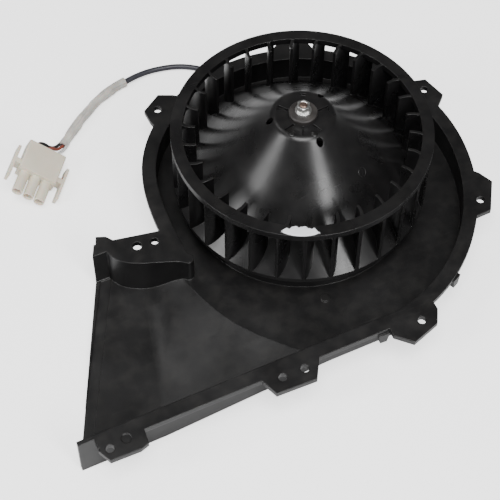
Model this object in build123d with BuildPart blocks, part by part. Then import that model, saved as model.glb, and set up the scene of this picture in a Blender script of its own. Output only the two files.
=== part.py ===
"""Combustion fan for a boiler: a moulded scroll half-shell, a centrifugal impeller and its motor.

The frame is in millimetres with +Z up. The origin lies on the fan's shaft axis, on the plane that the
fan stands on, which is the flat back of the motor. +X runs along the straight outlet wall, away from
the outlet.
"""

import os
from math import atan, cos, degrees, hypot, pi, radians, sin, tan

from build123d import *

os.makedirs("parts", exist_ok=True)

# ---------------------------------------------------------------- driving dimensions
# Impeller
impeller_radius = 66.5
impeller_height = 41.0
blade_count = 30
blade_inner_radius = 54.0
blade_thickness = 1.4
blade_outer_inset = 0.7  # blades' outer ends inside the rim's edge
blade_sweep = 2.2  # half the sideways step from a blade's inner end to its outer end
blade_bulge = 1.5  # sideways bulge of its middle
blade_start_angle = 7.0
blade_top_drop = 0.5  # blades' tops below the rim's top
rim_width = 6.0
rim_height = 3.6
bell_wall = 2.2
bell_top_radius = 15.3  # flat top of the bell, where the nut clamps it
bell_top_rise = 11.0  # flat top above the rim
bell_foot_radius = 53.0  # where the cone reaches the blades
bell_foot_drop = 27.0  # below the rim
back_inset = 1.0  # back's edge inside the rim's edge
back_lip_height = 2.2
shoulder_fillet = 5.0
vent_hole_radius = 1.75
vents = [(17.6, -88.0), (15.6, 29.0), (16.8, 165.0)]  # radius and angle of each vent hole
slot_count = 5
slot_start_angle = -80.0
seam_angle = -116.0  # narrow slot beside the wedges
seam_half = 0.3
slot_end = 13.6
slot_depth = 1.5
boss_radius = 9.6
insert_radius = 6.4
insert_length = 11.0
collar_radius = 7.2
collar_height = 2.4
nut_flats = 6.0
nut_flange_radius = 4.1
nut_height = 5.0
nut_skirt = 1.2
nut_countersink = 0.45
stud_end_rise = 0.2  # stud's end above the nut
circlip_width = 2.2
circlip_thickness = 1.0
clip_gap = 2.2  # half the circlip's opening

# Scroll housing
wall = 2.4
flange_width = 7.4
flange_thickness = 3.0
scroll_depth = 15.0  # flange face to the scroll's floor
duct_depth = 23.0  # flange face to the outlet duct's floor
scroll_gaps = [  # (angle in degrees, gap between the impeller and the scroll's wall)
    (181.0, 6.8),
    (151.0, 9.2),
    (121.0, 11.2),
    (91.0, 13.2),
    (56.0, 15.2),
    (6.0, 16.2),
    (-19.0, 17.6),
    (-39.0, 20.2),
    (-54.0, 23.0),
    (-69.0, 26.2),
    (-90.0, 29.0),
]
rim_above_flange = 39.0
platform_radius = 60.0  # raised centre of the floor, under the impeller
platform_height = 8.0
platform_taper = 4.0  # degrees
hole_radius = 2.15
tab_hole_line = 9.9  # hole line outside the straight wall's inner face
nose_radius = 3.2
hooks = [(-92.8, 35.0), (-64.0, 31.0)]  # angle and distance outside the impeller of each hook's inner face
hook_thickness = 2.5
hook_root = 6.0
hook_tip = 3.6
hook_drop = 6.5
floor_pad_gap = 1.3  # pad's centre outside the impeller
floor_pad_angle = -105.0
floor_pad_radius = 2.3
floor_pad_height = 0.7
dimple_from_hole = 9.0  # along the tab, from the end tab's hole
dimple_radius = 2.5
dimple_depth = 0.4

# Motor
shaft_radius = 4.0
stud_radius = 1.75
rotor_radius = 22.0
air_gap = 0.4
bar_count = 24
bar_radius = 1.2
end_ring_height = 3.6
end_ring_width = 7.0
stator_radius = 38.0
yoke_width = 5.4
stack_height = 20.0
stack_bottom = 20.0
pole_count = 4
pole_width = 15.0
shoe_depth = 3.0
shoe_arc = 66.0
bobbin_wall = 0.7
coil_width = 3.8
coil_depth = 4.2
bearing_radius = 7.0
bearing_length = 8.0
bearing_tube_wall = 1.6
bearing_ledge = 0.6  # shoulder that each bearing sits on
clip_thickness = 0.6
washer_thickness = 1.0
bolt_circle_radius = 38.6
bolt_radius = 1.5
bolt_head_radius = 2.8
bolt_head_height = 2.0
bolt_nut_height = 2.4
bolt_end = 0.6  # bolts' ends past their nuts
recess_length = 3.4  # cross recesses in the screws' heads
recess_width = 0.9
recess_depth = 1.1
ear_radius = 4.0
bracket_wall = 1.5
front_cup_height = 9.0
plate_radius = 54.4
plate_thickness = 1.5
mount_circle_radius = 48.6
mount_count = 3
mount_start_angle = 30.0
mount_screw_radius = 1.75
screw_head_radius = 4.0
screw_head_height = 2.2
mount_boss_radius = 4.2
mount_boss_height = 3.0
grommet_radius = 5.2
grommet_neck_radius = 3.8
grommet_flange = 1.2

# Cable
cable_radius = 1.6
sleeve_radius = 2.9
lead_radius = 0.9
contact_pitch = 6.35
gland_radius = 3.6
gland_neck_radius = 2.8
gland_length = 5.0
gland_height = 5.4  # cable's centre above the standing plane where it leaves the motor
gland_x = -2.0
connector_width = 21.6
connector_length = 18.5
connector_height = 9.4
silo_radius = 2.95
silo_length = 12.5
silo_wall = 0.7
connector_angle = 231.0  # direction that the silos point in
connector_roll = 27.0  # degrees, it leans on one latch
wing_gap = 2.7
wing_wall = 1.6
wing_height = 6.0
wing_start = 5.4  # from the connector's rear
wing_end = 25.6
wing_bridge = (13.0, 16.0)  # where each wing joins the body

# Clearances
running_clearance = 0.03  # radial, shaft in its bearings
seat_clearance = 0.02  # radial, pieces that sit on one another
hub_gap = 1.4  # axial, upper bearing's clip to the impeller's
end_play = 0.25  # axial, thrust washers to bearings
hole_clearance = 0.25  # radial, screws in their holes

# ---------------------------------------------------------------- levels above the standing plane
flange_top = wall + duct_depth
flange_bottom = flange_top - flange_thickness
scroll_floor = flange_top - scroll_depth
duct_floor = flange_top - duct_depth
platform_top = scroll_floor + platform_height
rim_top = flange_top + rim_above_flange
impeller_bottom = rim_top - impeller_height
bell_top = rim_top + bell_top_rise
bell_foot = rim_top - bell_foot_drop
stack_top = stack_bottom + stack_height
plate_top = platform_top - wall - grommet_flange
plate_bottom = plate_top - plate_thickness


def save(piece, name):
    """Label a finished piece and write it to its own STEP file."""
    piece.label = name
    export_step(piece, f"parts/{name}.step")


def polar(radius, angle):
    """Point at a radius and an angle in degrees about the shaft axis."""
    return (radius * cos(radians(angle)), radius * sin(radians(angle)))


# ---------------------------------------------------------------- scroll housing
wall_line = -(impeller_radius + scroll_gaps[-1][1])  # inner face of the straight outlet wall
hole_line = wall_line - tab_hole_line
side = -impeller_radius  # the duct and the tongue keep their distance from the impeller
mouth_low = (side - 97.0, wall_line)  # spigot's open end, at the straight wall and at the tongue
mouth_high = (side - 47.9, 4.6)
flange_mouth = [(side - 89.0, wall_line), (side - 45.1, 8.8)]  # flange's ends, short of the spigot's
spigot_lip = 5.4  # length of the step inside the spigot
spigot_step = 0.9
nose_centre = (side - 8.1, -23.0)
duct_bend = (side - 33.5, -14.6)
duct_turn = (side - 40.9, -8.6)
duct_corner = (side - 43.5, -2.0)
scroll_tangents = [(0.05, 1, 0), (-1, 0, 0)]
past_mouth = 4.0  # the air channel runs on past the mouth
ramp_reach = 20.0  # the duct's block runs on past the mouth


def scroll_points(extra):
    """Stations of the scroll's wall, set out by an extra width."""
    return [polar(impeller_radius + gap + extra, angle) for angle, gap in scroll_gaps]


def channel_sketch(plane):
    """Plan of the air channel: the scroll, then the outlet duct past the mouth."""
    nose_top = (nose_centre[0] + nose_radius * 0.35, nose_centre[1] + nose_radius * 0.94)
    nose_tip = (nose_centre[0] + nose_radius, nose_centre[1])
    nose_low = (nose_centre[0] - nose_radius * 0.3, nose_centre[1] - nose_radius * 0.95)
    end_low = (mouth_low[0] - past_mouth, wall_line)
    end_high = (mouth_high[0] - past_mouth, duct_corner[1])
    with BuildSketch(plane) as sketch:
        with BuildLine():
            scroll = Spline(scroll_points(0), tangents=scroll_tangents, tangent_scalars=[1, 1])
            Polyline(scroll @ 1, end_low, end_high, duct_corner)
            upper = Spline([duct_corner, duct_turn, duct_bend, nose_low])
            ThreePointArc(upper @ 1, nose_tip, nose_top)
            Line(nose_top, scroll @ 0)
        make_face()
    return sketch.sketch


def shell_sketch(plane, extra, mouth, tongue):
    """Plan of the shell at an extra width outside the channel, closed over the mouth and the tongue."""
    with BuildSketch(plane) as sketch:
        with BuildLine():
            scroll = Spline(scroll_points(extra), tangents=scroll_tangents, tangent_scalars=[1, 1])
            Polyline(scroll @ 1, (mouth[0][0], wall_line - extra), *mouth, *tongue, scroll @ 0)
        make_face()
    return sketch.sketch


def channel_block(floor):
    """Air channel above a floor."""
    plan = channel_sketch(Plane.XY.offset(floor))
    with BuildPart() as block:
        extrude(plan, amount=flange_top + 1 - floor)
    return block.part


flange_tongue = [(side - 40.3, 6.8), (side - 37.9, 3.3), (side - 16.9, -0.9)]
tub_tongue = [(side - 39.5, 2.6), (side - 17.5, -2.0)]
tongue_pocket = [  # open to the outside, above the tongue's outline
    (side - 39.5, 8.0),
    (side - 38.5, -1.5),
    (side - 29.5, -9.6),
    (side - 13.5, -16.5),
    (side - 10.8, -8.0),
    (side - 9.8, 8.0),
]


# Ramp between the scroll's floor and the duct's floor: (y, hollow's edge x, ramp's foot x, ridge x)
ramp_stations = [
    (8.0, side - 24.0, side - 16.0, side - 13.1),
    (-12.0, side - 29.6, side - 17.5, side - 13.0),
    (-24.0, side - 33.0, side - 20.0, side - 11.7),
    (-36.0, side - 36.4, side - 25.4, side - 8.7),
    (-48.0, side - 39.8, side - 31.5, side - 4.7),
    (-60.0, side - 43.2, side - 37.7, side + 1.2),
    (-72.0, side - 46.6, side - 43.6, side + 9.7),
    (-84.0, side - 50.0, side - 48.6, side + 20.3),
    (wall_line - 6.0, side - 55.0, side - 54.0, side + 38.0),
]


def duct_block(shift):
    """Solid over the duct's floor and ramp, with its underside lowered by a shift."""
    floor = duct_floor - shift
    far = mouth_low[0] - ramp_reach
    step = scroll_floor - duct_floor
    with BuildPart() as block:
        for y, hollow, foot, ridge in ramp_stations:
            # a hollow that starts level and ends along the ramp
            rise = step * (foot - hollow) / (2 * (ridge - foot) + foot - hollow)
            with BuildSketch(Plane.XZ.offset(-y)):
                with BuildLine():
                    Line((far, floor), (hollow, floor))
                    Bezier((hollow, floor), ((hollow + foot) / 2, floor), (foot, floor + rise))
                    Polyline(
                        (foot, floor + rise),
                        (ridge, scroll_floor - shift),
                        (ridge, flange_top + 1),
                        (far, flange_top + 1),
                        (far, floor),
                    )
                make_face()
        loft(ruled=True)
    return block.part


def radial_tab(hole_at, half_base, half_tip):
    """Fixing tab on the scroll's rim, as a trapezoid whose tip stands past the hole."""
    tip = hole_at + 5.6
    root = hole_at - 8.0
    return [
        (root, -half_base - 2),
        (hole_at - 1.5, -half_base),
        (tip, -half_tip),
        (tip, half_tip),
        (hole_at - 1.5, half_base),
        (root, half_base + 2),
    ]


# (angle, hole's distance outside the impeller, half widths at the rim and the tip, hole's offset)
radial_tabs = [
    (123.0, 21.5, 11.0, 6.6, 2.0),
    (66.0, 24.0, 11.0, 6.6, 0.0),
    (14.0, 24.7, 11.0, 7.0, 2.0),
    (-32.5, 28.3, 14.0, 9.2, -3.5),
]
line_holes = [14.7, -49.6, -61.4, side - 84.1]  # x of the holes along the straight wall
tongue_holes = [(side - 28.1, -5.3, 2.4), (side - 18.9, -6.4, 2.0)]  # x, y, radius
end_tab = [(-65.7, 3.0), (-66.5, -4.8), (-71.0, -6.2), (-86.1, -5.8), (-89.5, 1.5), (-87.5, 3.0)]
line_tabs = [
    [(25.0, 2.5), (21.0, -4.5), (5.5, -9.6), (-2.0, -2.0), (-2.0, 4.0), (25.0, 8.0)],
    [(-40.2, 3.0), (-46.6, -7.6), (-67.8, -6.8), (-71.4, 3.0)],
    [(side + x, y) for x, y in end_tab],
]

tab_holes = [(x, hole_line) for x in line_holes]
for angle, gap, half_base, half_tip, slide in radial_tabs:
    hole_at = impeller_radius + gap
    tab_holes.append(polar(hypot(hole_at, slide), angle + degrees(atan(slide / hole_at))))
stator_opening = bolt_circle_radius + ear_radius + 1.5

# shapes that the housing is joined and cut from
flange_plan = shell_sketch(Plane.XY.offset(flange_bottom), flange_width, flange_mouth, flange_tongue)
tub_plan = shell_sketch(Plane.XY, wall, [mouth_low, mouth_high], tub_tongue)
with BuildPart() as tub:
    extrude(tub_plan, amount=flange_top)
with BuildPart() as above_floor:
    with BuildSketch(Plane.XY.offset(scroll_floor - wall)):
        Circle(3 * impeller_radius)
    extrude(amount=flange_top)
with BuildPart() as platform:
    with BuildSketch(Plane.XY.offset(scroll_floor - wall)):
        Circle(platform_radius)
    extrude(amount=platform_height + wall, taper=platform_taper)
tub_floors = above_floor.part + duct_block(wall)
air = (channel_block(scroll_floor) - platform.part) + (channel_block(duct_floor) & duct_block(0))

with BuildPart() as housing:
    # flange with its tabs
    extrude(flange_plan, amount=flange_thickness)
    with BuildSketch(Plane.XY.offset(flange_bottom)):
        for angle, gap, half_base, half_tip, slide in radial_tabs:
            with Locations(Location((0, 0, 0), (0, 0, angle))):
                Polygon(*radial_tab(impeller_radius + gap, half_base, half_tip), align=None)
        for corners in line_tabs:
            Polygon(*[(x, hole_line + y) for x, y in corners], align=None)
    extrude(amount=flange_thickness)
    # tub: the channel's walls, down to the undersides of the floors
    add(tub.part & tub_floors)
    # raised centre of the floor
    add(platform)
    # the air channel, above the two floors and around the raised centre
    add(air, mode=Mode.SUBTRACT)
    # step inside the spigot's floor
    with BuildSketch(Plane.XY.offset(duct_floor)):
        Polygon(
            (mouth_low[0] - 1.0, wall_line),
            (mouth_low[0] + spigot_lip, wall_line),
            (mouth_high[0] + spigot_lip, mouth_high[1] - 7.0),
            (mouth_high[0] - 1.0, mouth_high[1] - 7.0),
            align=None,
        )
    extrude(amount=-spigot_step, mode=Mode.SUBTRACT)
    # hooks below the flange that catch the other half
    for angle, reach in hooks:
        outwards = Vector(*polar(1, angle), 0)
        root = outwards * (impeller_radius + reach) + Vector(0, 0, flange_bottom)
        with BuildSketch(Plane(origin=root, x_dir=(-outwards.Y, outwards.X, 0), z_dir=outwards)):
            Polygon(
                (-hook_root / 2, 0.2),
                (hook_root / 2, 0.2),
                (hook_tip / 2, -hook_drop),
                (-hook_tip / 2, -hook_drop),
                align=None,
            )
        extrude(amount=hook_thickness)
    # small round pad on the scroll's floor
    with BuildSketch(Plane.XY.offset(scroll_floor)):
        with Locations(polar(impeller_radius + floor_pad_gap, floor_pad_angle)):
            Circle(floor_pad_radius)
    extrude(amount=floor_pad_height)
    # pockets from below: under the tongue plate and inside the raised centre
    with BuildSketch():
        Polygon(*tongue_pocket, align=None)
    extrude(amount=flange_bottom, mode=Mode.SUBTRACT)
    with BuildSketch():
        Circle(platform_radius - wall)
    extrude(amount=platform_top - wall, taper=platform_taper, mode=Mode.SUBTRACT)
    # bosses on the raised centre that take the motor's mounting screws
    with BuildSketch(Plane.XY.offset(platform_top)):
        with PolarLocations(mount_circle_radius, mount_count, start_angle=mount_start_angle):
            Circle(mount_boss_radius)
    extrude(amount=mount_boss_height)
    with BuildSketch(Plane.XY.offset(plate_top)):
        with PolarLocations(mount_circle_radius, mount_count, start_angle=mount_start_angle):
            Circle(mount_screw_radius + seat_clearance)
    extrude(amount=platform_top + mount_boss_height - wall / 2 - plate_top, mode=Mode.SUBTRACT)
    # opening over the motor
    with BuildSketch(Plane.XY.offset(plate_top)):
        Circle(stator_opening)
    extrude(amount=platform_height, mode=Mode.SUBTRACT)
    # blind dimple in the outlet's end tab
    with Locations((line_holes[-1] + dimple_from_hole, hole_line + 1.8, flange_top)):
        Hole(dimple_radius, depth=dimple_depth)
    # fixing holes
    with Locations(*[(x, y, flange_top) for x, y in tab_holes]):
        Hole(hole_radius, depth=flange_thickness + 1)
    for x, y, radius in tongue_holes:
        with Locations((x, y, flange_top)):
            Hole(radius, depth=flange_thickness + 1)
save(housing.part, "scroll_housing")

# ---------------------------------------------------------------- impeller
back_radius = impeller_radius - back_inset
back_top = impeller_bottom + back_lip_height
bell_under = [  # underside of the bell, from its lip up to the hub's boss
    (back_radius - bell_wall, impeller_bottom),
    (back_radius - bell_wall, back_top - bell_wall * 0.5),
    (bell_foot_radius - bell_wall * 1.2, bell_foot - bell_wall * 0.8),
    (bell_top_radius - bell_wall * 0.4, bell_top - bell_wall),
]


def sector_slot(root, tip, root_half, tip_half):
    """Radial slot that widens outwards."""
    return [(root, -root_half), (tip, -tip_half), (tip, tip_half), (root, root_half)]


half = blade_thickness / 2
inner_x, outer_x = blade_inner_radius, impeller_radius - blade_outer_inset
middle_x = (inner_x + outer_x) / 2
with BuildSketch() as blade:
    with BuildLine():
        lead = ThreePointArc(
            (inner_x, blade_sweep - half),
            (middle_x - half * 0.4, blade_bulge - half),
            (outer_x - half * 0.5, -blade_sweep - half),
        )
        trail = ThreePointArc(
            (inner_x, blade_sweep + half),
            (middle_x + half * 0.4, blade_bulge + half),
            (outer_x + half * 0.5, -blade_sweep + half),
        )
        Line(lead @ 0, trail @ 0)
        Line(lead @ 1, trail @ 1)
    make_face()

with BuildPart() as impeller:
    # blades, each a curved strip between two arcs
    with BuildSketch(Plane.XY.offset(impeller_bottom + bell_wall)):
        with PolarLocations(0, blade_count, start_angle=blade_start_angle):
            add(blade.sketch)
    extrude(amount=rim_top - blade_top_drop - impeller_bottom - bell_wall)
    # the space under the bell stays free of blades
    with BuildSketch(Plane.XZ):
        Polygon((0, impeller_bottom), *bell_under, (0, bell_top - bell_wall), align=None)
    revolve(axis=Axis.Z, mode=Mode.SUBTRACT)
    # bell, back and hub boss
    with BuildSketch(Plane.XZ) as bell_profile:
        Polygon(
            (insert_radius, bell_top),
            (bell_top_radius, bell_top),
            (bell_foot_radius, bell_foot),
            (back_radius, back_top),
            (back_radius, impeller_bottom),
            *bell_under,
            (boss_radius, bell_top - bell_wall),
            (boss_radius, bell_top - insert_length),
            (insert_radius, bell_top - insert_length),
            align=None,
        )
        shoulder = bell_profile.vertices().sort_by_distance((bell_top_radius, bell_top, 0))[0]
        fillet(shoulder, shoulder_fillet)
        foot = bell_profile.vertices().sort_by_distance((bell_foot_radius, bell_foot, 0))[0]
        fillet(foot, 8.0)
    revolve(axis=Axis.Z)
    # rim
    with BuildSketch(Plane.XY.offset(rim_top - rim_height)):
        Circle(impeller_radius)
        Circle(impeller_radius - rim_width, mode=Mode.SUBTRACT)
    extrude(amount=rim_height)
    # slots and vent holes round the hub
    with BuildSketch(Plane.XY.offset(bell_top)):
        with PolarLocations(0, slot_count, start_angle=slot_start_angle):
            Polygon(*sector_slot(collar_radius + 0.8, slot_end, 0.5, 1.7), align=None)
        with Locations(Location((0, 0, 0), (0, 0, seam_angle))):
            Polygon(*sector_slot(collar_radius + 0.8, slot_end, seam_half, seam_half), align=None)
    extrude(amount=-slot_depth, mode=Mode.SUBTRACT)
    with BuildSketch(Plane.XY.offset(bell_top)):
        with Locations(*[polar(radius, angle) for radius, angle in vents]):
            Circle(vent_hole_radius)
    extrude(amount=-4 * bell_wall, mode=Mode.SUBTRACT)
save(impeller.part, "impeller")

with BuildPart() as insert:
    with BuildSketch(Plane.XY.offset(bell_top - insert_length)):
        Circle(insert_radius - seat_clearance)
        Circle(shaft_radius + seat_clearance, mode=Mode.SUBTRACT)
    extrude(amount=insert_length)
save(insert.part, "hub_insert")

collar_top = bell_top + collar_height
with BuildPart() as collar:
    with BuildSketch(Plane.XY.offset(bell_top)):
        Circle(collar_radius)
        Circle(stud_radius + seat_clearance, mode=Mode.SUBTRACT)
    extrude(amount=collar_height)
    chamfer(collar.edges().filter_by(GeomType.CIRCLE).sort_by(SortBy.RADIUS)[-1:], 0.5)
save(collar.part, "hub_collar")

nut_top = collar_top + nut_height
with BuildPart() as nut:
    with BuildSketch(Plane.XY.offset(collar_top)):
        Circle(nut_flange_radius)
    extrude(amount=nut_skirt)
    with BuildSketch(Plane.XY.offset(collar_top)):
        RegularPolygon(nut_flats / 2, 6, major_radius=False)
    extrude(amount=nut_height)
    with BuildSketch(Plane.XZ):
        corner = nut_flats / 2 / cos(radians(30)) + 0.3
        Polygon((nut_flats / 2, nut_top), (corner, nut_top), (corner, nut_top - 0.6), align=None)
    revolve(axis=Axis.Z, mode=Mode.SUBTRACT)
    with BuildSketch(Plane.XY.offset(collar_top)):
        Circle(stud_radius + seat_clearance)
    extrude(amount=nut_height, mode=Mode.SUBTRACT)
    chamfer(nut.faces().sort_by(Axis.Z)[-1].inner_wires().edges(), nut_countersink)
save(nut.part, "flange_nut")

# ---------------------------------------------------------------- motor: turning pieces
base_wall = bracket_wall
shaft_bottom = base_wall + 0.9
lower_bearing_bottom = base_wall + 1.2
lower_bearing_top = lower_bearing_bottom + bearing_length
clip_groove = bell_top - insert_length - circlip_thickness
upper_bearing_top = clip_groove - hub_gap - clip_thickness
upper_bearing_bottom = upper_bearing_top - bearing_length
front_top = upper_bearing_bottom - 0.4
with BuildPart() as shaft:
    with BuildSketch(Plane.XY.offset(shaft_bottom)):
        Circle(shaft_radius)
    extrude(amount=bell_top - shaft_bottom)
    with BuildSketch(Plane.XY.offset(bell_top)):
        Circle(stud_radius)
    extrude(amount=nut_top + stud_end_rise - bell_top)
    chamfer(shaft.edges().filter_by(GeomType.CIRCLE).group_by(Axis.Z)[-1], 0.4)
    chamfer(shaft.edges().filter_by(GeomType.CIRCLE).group_by(Axis.Z)[0], 0.5)
save(shaft.part, "motor_shaft")

with BuildPart() as circlip:
    with BuildSketch(Plane.XY.offset(clip_groove)):
        Circle(shaft_radius + circlip_width)
        Circle(shaft_radius + seat_clearance, mode=Mode.SUBTRACT)
        Polygon(
            (0, -clip_gap),
            (2 * shaft_radius, -clip_gap - 0.8),
            (2 * shaft_radius, clip_gap + 0.8),
            (0, clip_gap),
            align=None,
            mode=Mode.SUBTRACT,
        )
    extrude(amount=circlip_thickness)
save(circlip.part, "impeller_circlip")

bar_circle = rotor_radius - bar_radius - 0.9
with BuildPart() as core:
    with BuildSketch(Plane.XY.offset(stack_bottom)):
        Circle(rotor_radius)
        Circle(shaft_radius + seat_clearance, mode=Mode.SUBTRACT)
        with PolarLocations(bar_circle, bar_count):
            Circle(bar_radius + seat_clearance, mode=Mode.SUBTRACT)
    extrude(amount=stack_height)
save(core.part, "rotor_core")

with BuildPart() as cage:
    for level in (stack_bottom - end_ring_height, stack_top):
        with BuildSketch(Plane.XY.offset(level)):
            Circle(rotor_radius - 0.3)
            Circle(rotor_radius - end_ring_width, mode=Mode.SUBTRACT)
        extrude(amount=end_ring_height)
    with BuildSketch(Plane.XY.offset(stack_bottom)):
        with PolarLocations(bar_circle, bar_count):
            Circle(bar_radius)
    extrude(amount=stack_height)
save(cage.part, "rotor_cage")

lower_washer = lower_bearing_top + clip_thickness + end_play
upper_washer = upper_bearing_bottom - end_play - washer_thickness
with BuildPart() as washers:
    for level in (lower_washer, upper_washer):
        with BuildSketch(Plane.XY.offset(level)):
            Circle(bearing_radius - bearing_ledge - 0.2)
            Circle(shaft_radius + seat_clearance, mode=Mode.SUBTRACT)
        extrude(amount=washer_thickness)
save(washers.part, "thrust_washers")

# ---------------------------------------------------------------- motor: fixed pieces
bore_radius = rotor_radius + air_gap
yoke_inner = stator_radius - yoke_width
slot_half_angle = radians(45 - shoe_arc / 2)  # half the gap between two pole shoes
slot_reach = stator_radius
with BuildSketch(Plane.XY.offset(stack_bottom)) as shoes:
    Circle(bore_radius + shoe_depth)
    with PolarLocations(0, pole_count, start_angle=45):
        Polygon(
            (0, 0),
            (slot_reach, -slot_reach * tan(slot_half_angle)),
            (slot_reach, slot_reach * tan(slot_half_angle)),
            align=None,
            mode=Mode.SUBTRACT,
        )

with BuildPart() as stator:
    with BuildSketch(Plane.XY.offset(stack_bottom)):
        Circle(stator_radius)
        with PolarLocations(bolt_circle_radius, pole_count, start_angle=45):
            Circle(ear_radius)
        Circle(yoke_inner, mode=Mode.SUBTRACT)
        with PolarLocations((bore_radius + yoke_inner) / 2, pole_count):
            Rectangle(yoke_inner - bore_radius + 1.0, pole_width)
    extrude(amount=stack_height)
    extrude(shoes.sketch, amount=stack_height)
    with BuildSketch(Plane.XY.offset(stack_bottom)):
        Circle(bore_radius)
        with PolarLocations(bolt_circle_radius, pole_count, start_angle=45):
            Circle(bolt_radius + hole_clearance)
    extrude(amount=stack_height, mode=Mode.SUBTRACT)
save(stator.part, "stator_stack")


def pole_ring(inner_gap, thickness, root, depth):
    """Closed frame round each pole, at a gap from the steel."""
    across_pole = pole_width + 2 * inner_gap
    along_pole = stack_height + 2 * inner_gap
    middle = (stack_bottom + stack_top) / 2
    with BuildPart() as ring:
        for turn in range(pole_count):
            angle = turn * 2 * pi / pole_count
            outward = (cos(angle), sin(angle), 0)
            sideways = (-sin(angle), cos(angle), 0)
            face = Plane(origin=(0, 0, middle), x_dir=sideways, z_dir=outward)
            with BuildSketch(face.offset(root)):
                RectangleRounded(across_pole + 2 * thickness, along_pole + 2 * thickness, thickness)
                Rectangle(across_pole, along_pole, mode=Mode.SUBTRACT)
            extrude(amount=depth)
    return ring.part


coil_root = bore_radius + shoe_depth + 0.2
save(pole_ring(seat_clearance, bobbin_wall, coil_root, coil_depth), "coil_bobbins")
save(pole_ring(bobbin_wall + 2 * seat_clearance, coil_width, coil_root, coil_depth), "stator_coils")

cup_radius = yoke_inner + 0.9
flange_out = bolt_circle_radius + ear_radius
with BuildPart() as front:
    with BuildSketch(Plane.XZ):
        Polygon(
            (flange_out, stack_top),
            (flange_out, stack_top + bracket_wall),
            (cup_radius + bracket_wall, stack_top + bracket_wall),
            (cup_radius + bracket_wall, stack_top + front_cup_height),
            (bearing_radius + bearing_tube_wall, front_top),
            (bearing_radius + bearing_tube_wall, upper_bearing_top),
            (bearing_radius + seat_clearance, upper_bearing_top),
            (bearing_radius + seat_clearance, upper_bearing_bottom),
            (bearing_radius - bearing_ledge, upper_bearing_bottom),
            (bearing_radius - bearing_ledge, front_top - bracket_wall),
            (bearing_radius + bearing_tube_wall, front_top - bracket_wall),
            (cup_radius, stack_top + front_cup_height - bracket_wall),
            (cup_radius, stack_top),
            align=None,
        )
    revolve(axis=Axis.Z)
    with BuildSketch(Plane.XY.offset(stack_top)):
        with PolarLocations(bolt_circle_radius, pole_count, start_angle=45):
            Circle(bolt_radius + hole_clearance)
        with PolarLocations(cup_radius * 0.62, 6):
            Circle(4.5)
    extrude(amount=front_top, mode=Mode.SUBTRACT)
save(front.part, "front_bracket")

with BuildPart() as rear:
    with BuildSketch(Plane.XZ):
        Polygon(
            (0, 0),
            (cup_radius + bracket_wall, 0),
            (cup_radius + bracket_wall, plate_bottom - bracket_wall),
            (flange_out, plate_bottom - bracket_wall),
            (flange_out, plate_bottom),
            (cup_radius, plate_bottom),
            (cup_radius, base_wall),
            (bearing_radius + bearing_tube_wall, base_wall),
            (bearing_radius + bearing_tube_wall, lower_bearing_top),
            (bearing_radius + seat_clearance, lower_bearing_top),
            (bearing_radius + seat_clearance, lower_bearing_bottom),
            (shaft_radius + 1.0, lower_bearing_bottom),
            (shaft_radius + 1.0, base_wall),
            (0, base_wall),
            align=None,
        )
    revolve(axis=Axis.Z)
    with BuildSketch(Plane.XY.offset(plate_bottom)):
        with PolarLocations(bolt_circle_radius, pole_count, start_angle=45):
            Circle(bolt_radius + hole_clearance)
    extrude(amount=-2 * bracket_wall, mode=Mode.SUBTRACT)
    with BuildSketch(Plane.XZ.offset(-cup_radius + 3)):
        with Locations((gland_x, gland_height)):
            Circle(gland_neck_radius + seat_clearance)
    extrude(amount=-8, mode=Mode.SUBTRACT)
save(rear.part, "rear_bracket")

for name, level in (("lower_bearing", lower_bearing_bottom), ("upper_bearing", upper_bearing_bottom)):
    with BuildPart() as bearing:
        with BuildSketch(Plane.XY.offset(level)):
            Circle(bearing_radius)
            Circle(shaft_radius + running_clearance, mode=Mode.SUBTRACT)
        extrude(amount=bearing_length)
    save(bearing.part, name)

for name, level in (("lower_bearing_clip", lower_bearing_top), ("upper_bearing_clip", upper_bearing_top)):
    with BuildPart() as clip:
        with BuildSketch(Plane.XY.offset(level)):
            Circle(bearing_radius + bearing_tube_wall)
            Circle(shaft_radius + 1.2, mode=Mode.SUBTRACT)
        extrude(amount=clip_thickness)
    save(clip.part, name)

with BuildPart() as plate:
    with BuildSketch(Plane.XY.offset(plate_bottom)):
        Circle(plate_radius)
        Circle(cup_radius, mode=Mode.SUBTRACT)
        with PolarLocations(bolt_circle_radius, pole_count, start_angle=45):
            Circle(bolt_radius + hole_clearance, mode=Mode.SUBTRACT)
        with PolarLocations(mount_circle_radius, mount_count, start_angle=mount_start_angle):
            Circle(grommet_neck_radius + seat_clearance, mode=Mode.SUBTRACT)
    extrude(amount=plate_thickness)
save(plate.part, "motor_plate")

with BuildPart() as spacers:
    with BuildSketch(Plane.XY.offset(plate_top)):
        with PolarLocations(bolt_circle_radius, pole_count, start_angle=45):
            Circle(ear_radius - 0.8)
            Circle(bolt_radius + hole_clearance, mode=Mode.SUBTRACT)
    extrude(amount=stack_bottom - plate_top)
save(spacers.part, "stack_spacers")


def cross_recess(seat, head_height, circle, count, start_angle):
    """Cross slots in the ends of screw heads that face down, each as two crossed bars."""
    with BuildPart() as cross:
        with BuildSketch(Plane.XY.offset(seat - head_height)):
            with PolarLocations(circle, count, start_angle=start_angle):
                Rectangle(recess_length, recess_width)
                Rectangle(recess_width, recess_length)
        extrude(amount=recess_depth)
    return cross.part


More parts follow.
